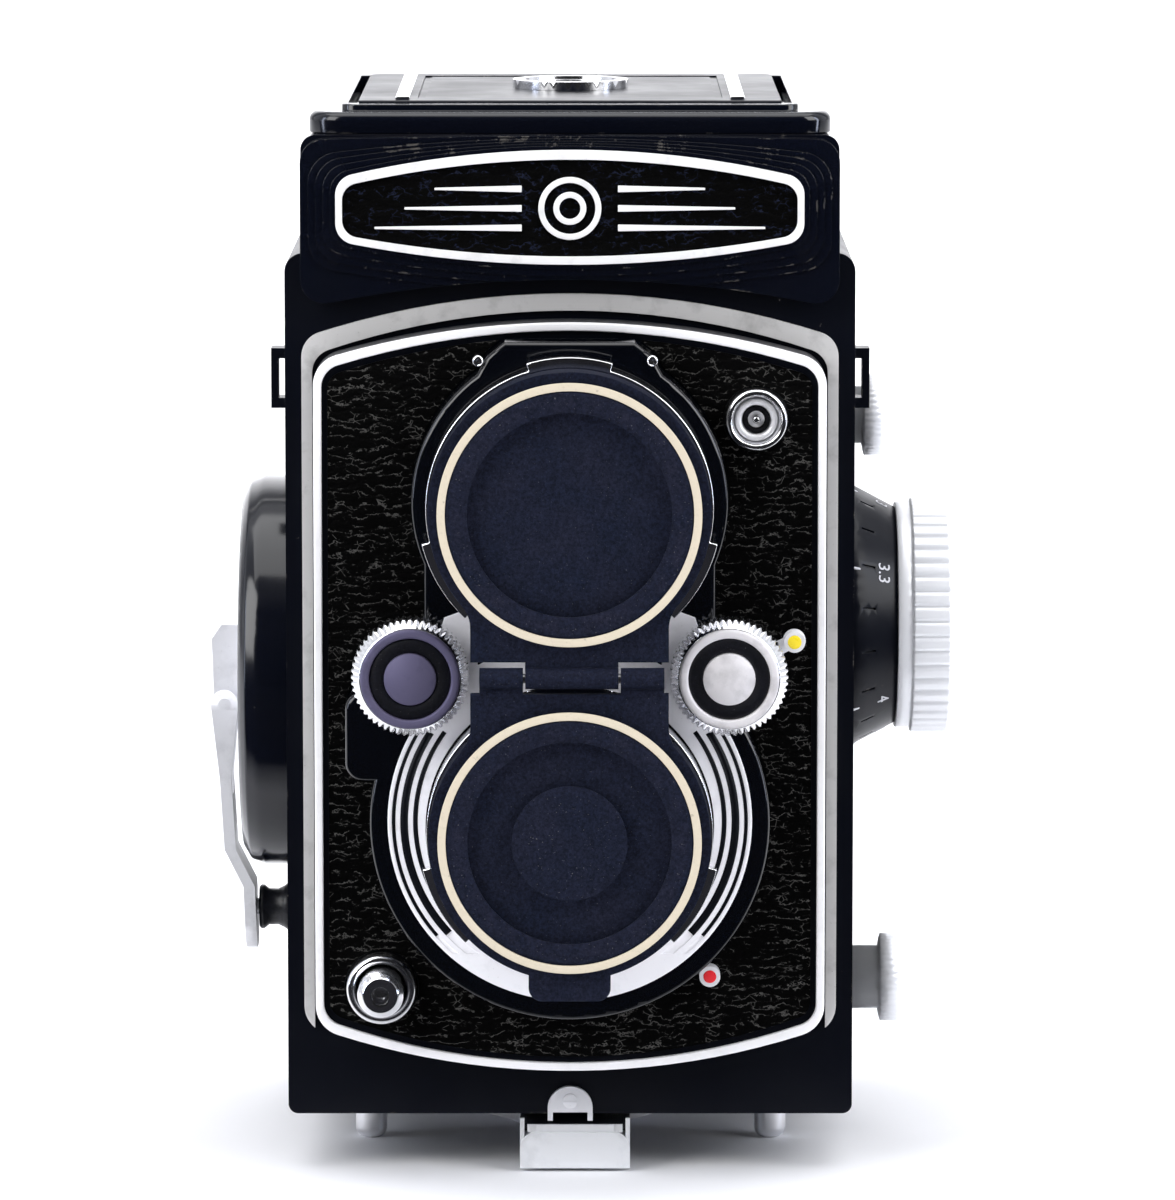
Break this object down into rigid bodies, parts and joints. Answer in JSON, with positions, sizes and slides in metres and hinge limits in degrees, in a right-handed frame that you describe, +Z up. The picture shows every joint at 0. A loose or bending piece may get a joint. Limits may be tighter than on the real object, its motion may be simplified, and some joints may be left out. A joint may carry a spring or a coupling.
{
  "type": "twin lens reflex camera",
  "caption": "Twin lens reflex camera with a sliding lens panel, folding hood, hinged back, winding crank and a hinged double lens cap.",
  "frame": {"origin": "centre of the tripod socket's mouth, on the plane of the feet", "axes": "+X to the right seen from the front, -Y along the lenses, +Z up"},
  "size_m": [0.1037, 0.1028, 0.1456],
  "materials": {
    "black_enamel": "gloss",
    "leatherette": "matt",
    "satin_metal": "satin",
    "chrome": "polished",
    "steel": "satin",
    "mirror": "polished",
    "glass": "polished",
    "black_plastic": "gloss",
    "cap_plastic": "matt"
  },
  "bodies": {
    "camera_body": {"body_shell": "black_enamel", "side_leather": "leatherette", "trim_band": "satin_metal", "catch_tab": "satin_metal", "strap_lugs": "black_enamel", "crank_dish": "black_enamel", "top_housing": "black_enamel", "nameplate_panel": "leatherette", "nameplate_trim": "satin_metal", "reflex_mirror": "mirror", "focusing_screen": "glass", "hood_base": "black_enamel", "back_hinge_pin": "steel"},
    "front_standard": {"front_plate": "black_enamel", "front_rim": "satin_metal", "front_leather": "leatherette", "lens_housing": "black_enamel", "shutter_plate": "satin_metal", "viewing_barrel": "black_enamel", "viewing_bayonet": "chrome", "viewing_glass": "glass", "taking_barrel": "black_enamel", "taking_bayonet": "chrome", "taking_glass": "glass", "shutter_blades": "steel", "sync_terminal": "chrome", "release_collar": "chrome"},
    "focus_knob": {"focus_dial": "black_enamel", "focus_grip": "chrome", "focus_shaft": "steel"},
    "release": {"release_button": "chrome"},
    "aperture": {"aperture_wheel": "chrome", "aperture_cap": "black_plastic"},
    "speed": {"speed_wheel": "chrome", "speed_cap": "black_plastic"},
    "flash_sync": {"flash_sync_lever": "satin_metal"},
    "self_timer": {"self_timer_lever": "satin_metal"},
    "lower_cap": {"cap_lower": "cap_plastic", "cap_hinge_pin": "steel"},
    "upper_cap": {"cap_upper": "cap_plastic"},
    "crank": {"crank_hub": "chrome"},
    "folding_arm": {"crank_arm": "satin_metal"},
    "handle": {"crank_handle": "black_plastic"},
    "upper_knob": {"upper_spool_knob": "chrome"},
    "lower_knob": {"lower_spool_knob": "chrome"},
    "takeup": {"takeup_spool": "black_plastic"},
    "supply": {"supply_spool": "black_plastic"},
    "lid": {"hood_lid": "black_enamel", "lid_trim": "chrome"},
    "left_flap": {"hood_left_flap": "black_enamel"},
    "right_flap": {"hood_right_flap": "black_enamel"},
    "back_flap": {"hood_back_flap": "black_enamel"},
    "magnifier": {"magnifier_frame": "black_enamel", "magnifier_lens": "glass"},
    "back": {"back_door": "black_enamel", "back_leather": "leatherette", "pressure_plate": "black_enamel", "tripod_bush": "chrome"},
    "lock": {"lock_ring": "chrome"},
    "lock_slide": {"lock_bar": "satin_metal"}
  },
  "joints": [
    {"name": "front_slide", "type": "slide", "parent": "camera_body", "child": "front_standard", "axis": [0, -1, 0], "range_m": [0, 0.008]},
    {"name": "focus_turn", "type": "hinge", "parent": "camera_body", "child": "focus_knob", "pos_m": [0.042, -0.008, 0.0722], "axis": [1, 0, 0], "range_deg": [0, 270]},
    {"name": "release_press", "type": "slide", "parent": "front_standard", "child": "release", "axis": [0, 1, 0], "range_m": [0, 0.003], "stiffness_N_per_m": 150, "springref_m": -0.001},
    {"name": "aperture_turn", "type": "hinge", "parent": "front_standard", "child": "aperture", "pos_m": [-0.021, -0.056, 0.0704], "axis": [0, -1, 0], "range_deg": [-60, 60]},
    {"name": "speed_turn", "type": "hinge", "parent": "front_standard", "child": "speed", "pos_m": [0.021, -0.056, 0.0704], "axis": [0, -1, 0], "range_deg": [-120, 120]},
    {"name": "flash_sync_turn", "type": "hinge", "parent": "front_standard", "child": "flash_sync", "pos_m": [0.021, -0.053, 0.0704], "axis": [0, 1, 0], "range_deg": [-12, 12]},
    {"name": "self_timer_turn", "type": "hinge", "parent": "front_standard", "child": "self_timer", "pos_m": [0, -0.04485, 0.0495], "axis": [0, 1, 0], "range_deg": [0, 45]},
    {"name": "cap_pull", "type": "slide", "parent": "front_standard", "child": "lower_cap", "axis": [0, -1, 0], "range_m": [0, 0.03]},
    {"name": "cap_swing", "type": "hinge", "parent": "lower_cap", "child": "upper_cap", "pos_m": [0, -0.0642, 0.07115], "axis": [1, 0, 0], "range_deg": [0, 170]},
    {"name": "crank_turn", "type": "hinge", "parent": "camera_body", "child": "crank", "pos_m": [-0.044, -0.003, 0.0638], "axis": [-1, 0, 0], "continuous": true},
    {"name": "crank_fold", "type": "hinge", "parent": "crank", "child": "folding_arm", "pos_m": [-0.048, -0.003, 0.0594], "axis": [0, 1, 0], "range_deg": [0, 180]},
    {"name": "handle_spin", "type": "hinge", "parent": "folding_arm", "child": "handle", "pos_m": [-0.042, -0.003, 0.0304], "axis": [1, 0, 0], "continuous": true},
    {"name": "upper_knob_pull", "type": "slide", "parent": "camera_body", "child": "upper_knob", "axis": [1, 0, 0], "range_m": [0, 0.006]},
    {"name": "lower_knob_pull", "type": "slide", "parent": "camera_body", "child": "lower_knob", "axis": [1, 0, 0], "range_m": [0, 0.006]},
    {"name": "takeup_turn", "type": "hinge", "parent": "camera_body", "child": "takeup", "pos_m": [0, 0.019, 0.0971], "axis": [-1, 0, 0], "continuous": true},
    {"name": "supply_turn", "type": "hinge", "parent": "camera_body", "child": "supply", "pos_m": [0, -0.005, 0.0208], "axis": [-1, 0, 0], "continuous": true},
    {"name": "lid_open", "type": "hinge", "parent": "camera_body", "child": "lid", "pos_m": [0, -0.0279, 0.1441], "axis": [1, 0, 0], "range_deg": [0, 90]},
    {"name": "left_flap_open", "type": "hinge", "parent": "camera_body", "child": "left_flap", "pos_m": [-0.0292, 0.002, 0.1415], "axis": [0, -1, 0], "range_deg": [0, 90]},
    {"name": "right_flap_open", "type": "hinge", "parent": "camera_body", "child": "right_flap", "pos_m": [0.0292, 0.002, 0.1415], "axis": [0, 1, 0], "range_deg": [0, 90]},
    {"name": "back_flap_open", "type": "hinge", "parent": "camera_body", "child": "back_flap", "pos_m": [0, 0.0318, 0.14075], "axis": [-1, 0, 0], "range_deg": [0, 90]},
    {"name": "magnifier_open", "type": "hinge", "parent": "lid", "child": "magnifier", "pos_m": [0, -0.0003, 0.1432], "axis": [-1, 0, 0], "range_deg": [0, 90]},
    {"name": "back_open", "type": "hinge", "parent": "camera_body", "child": "back", "pos_m": [0, 0.0356, 0.1202], "axis": [1, 0, 0], "range_deg": [0, 100]},
    {"name": "lock_turn", "type": "hinge", "parent": "back", "child": "lock", "pos_m": [0, 0, 0.003], "axis": [0, 0, 1], "range_deg": [0, 60]},
    {"name": "lock_slide_out", "type": "slide", "parent": "back", "child": "lock_slide", "axis": [0, -1, 0], "range_m": [0, 0.002]}
  ],
  "couplings": [
    {"joint": "focus_turn", "follows": "front_slide", "rad_per_m": 589.04},
    {"joint": "takeup_turn", "follows": "crank_turn", "ratio": 1},
    {"joint": "supply_turn", "follows": "crank_turn", "ratio": 1},
    {"joint": "left_flap_open", "follows": "lid_open", "ratio": 1},
    {"joint": "right_flap_open", "follows": "lid_open", "ratio": 1},
    {"joint": "back_flap_open", "follows": "lid_open", "ratio": 1},
    {"joint": "magnifier_open", "follows": "lid_open", "ratio": 1},
    {"joint": "lock_slide_out", "follows": "lock_turn", "m_per_rad": 0.0019}
  ]
}
